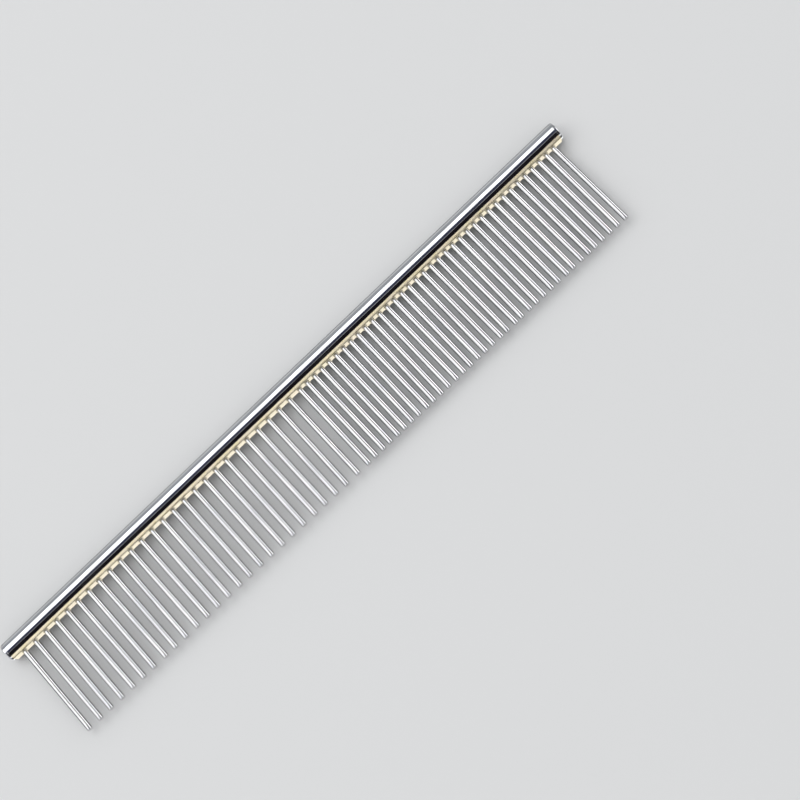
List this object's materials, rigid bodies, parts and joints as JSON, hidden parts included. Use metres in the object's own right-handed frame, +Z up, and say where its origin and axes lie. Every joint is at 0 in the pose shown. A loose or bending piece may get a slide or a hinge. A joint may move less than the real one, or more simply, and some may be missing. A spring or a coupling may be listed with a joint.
{
  "type": "steel grooming comb",
  "caption": "Straight all-metal grooming comb: a slotted round spine holds a strip of straight wire pins, set wide apart in one half and close together in the other.",
  "frame": {"origin": "centre of the flat end face at the coarse end of the spine, on the spine tube's axis", "axes": "+X along the spine from the coarse end to the fine end; -Y along the pins towards their tips, so +Y is the spine's round back; +Z up out of the comb's flat side, as it lies on a table"},
  "size_m": [0.19, 0.0314, 0.005],
  "materials": {
    "spine_chrome": "bright polished plating",
    "strip_brass": "pale gold, satin, as stamped",
    "pin_steel": "polished drawn wire with faint lengthwise lines"
  },
  "bodies": {
    "root": {"spine_tube": "spine_chrome", "pin_strip": "strip_brass", "coarse_end_plug": "spine_chrome", "fine_end_plug": "spine_chrome", "coarse_pin_01": "pin_steel", "coarse_pin_02": "pin_steel", "coarse_pin_03": "pin_steel", "coarse_pin_04": "pin_steel", "coarse_pin_05": "pin_steel", "coarse_pin_06": "pin_steel", "coarse_pin_07": "pin_steel", "coarse_pin_08": "pin_steel", "coarse_pin_09": "pin_steel", "coarse_pin_10": "pin_steel", "coarse_pin_11": "pin_steel", "coarse_pin_12": "pin_steel", "coarse_pin_13": "pin_steel", "coarse_pin_14": "pin_steel", "coarse_pin_15": "pin_steel", "coarse_pin_16": "pin_steel", "coarse_pin_17": "pin_steel", "coarse_pin_18": "pin_steel", "coarse_pin_19": "pin_steel", "coarse_pin_20": "pin_steel", "coarse_pin_21": "pin_steel", "coarse_pin_22": "pin_steel", "coarse_pin_23": "pin_steel", "coarse_pin_24": "pin_steel", "coarse_pin_25": "pin_steel", "coarse_pin_26": "pin_steel", "coarse_pin_27": "pin_steel", "fine_pins_01_05": "pin_steel", "fine_pins_06_10": "pin_steel", "fine_pins_11_15": "pin_steel", "fine_pins_16_20": "pin_steel", "fine_pins_21_25": "pin_steel", "fine_pins_26_30": "pin_steel", "fine_pins_31_35": "pin_steel"}
  },
  "joints": []
}
